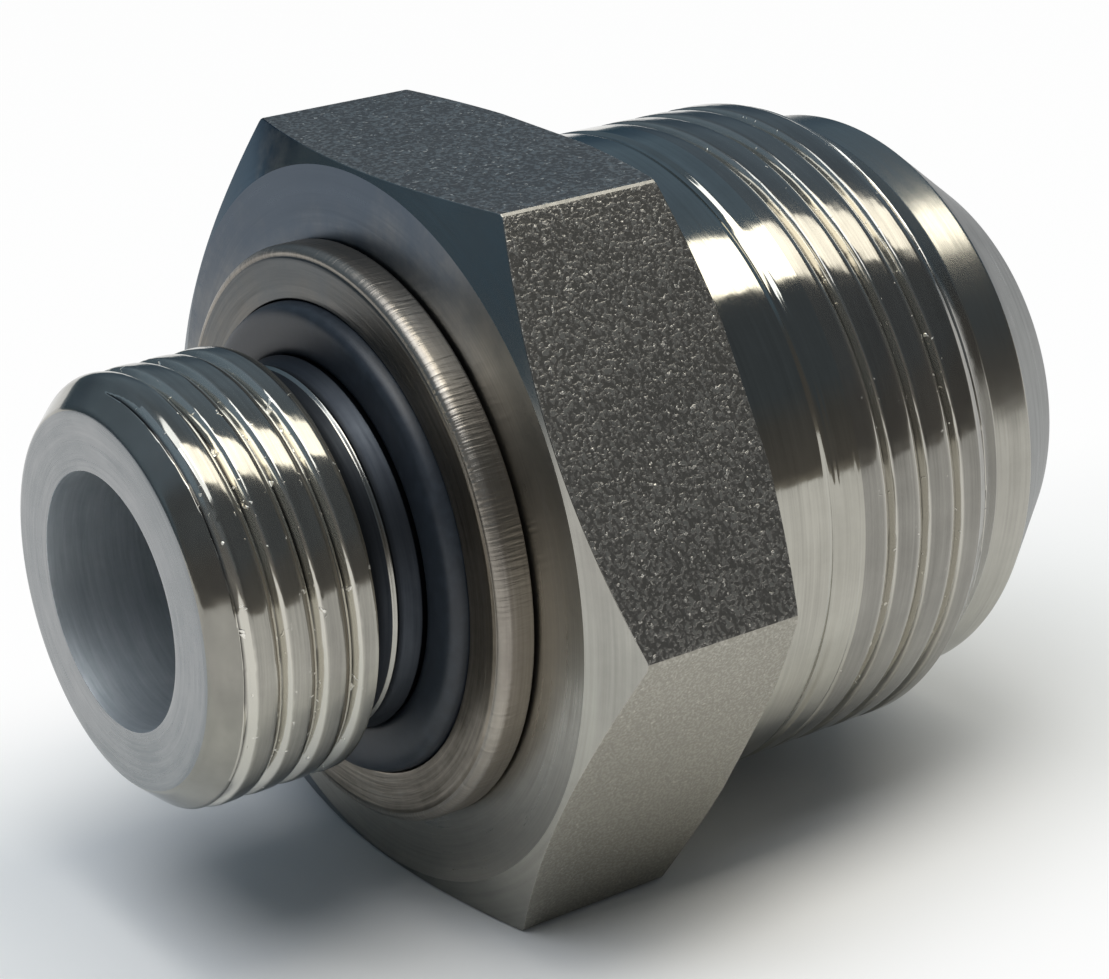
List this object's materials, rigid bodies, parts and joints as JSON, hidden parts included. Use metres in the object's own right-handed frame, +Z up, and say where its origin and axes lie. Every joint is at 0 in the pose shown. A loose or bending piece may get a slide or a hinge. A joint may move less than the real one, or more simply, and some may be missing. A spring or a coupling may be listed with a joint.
{
  "type": "male adapter fitting",
  "caption": "Straight steel hose adapter: short parallel thread stud with seal ring and retaining ring, hexagon, larger threaded end with a cone seat.",
  "frame": {"origin": "on the surface the fitting lies on, under the middle of its length", "axes": "+X along the fitting's axis towards the end with the cone, +Z up, the fitting lying on one flat of its hexagon"},
  "size_m": [0.0482, 0.0416, 0.036],
  "materials": {
    "turned_steel": "turned stainless steel with fine tool marks, etched on the flats",
    "ring_steel": "turned, satin",
    "black_rubber": "smooth, lightly oiled"
  },
  "bodies": {
    "root": {"adapter_body": "turned_steel", "retaining_ring": "ring_steel", "o_ring": "black_rubber"}
  },
  "joints": []
}
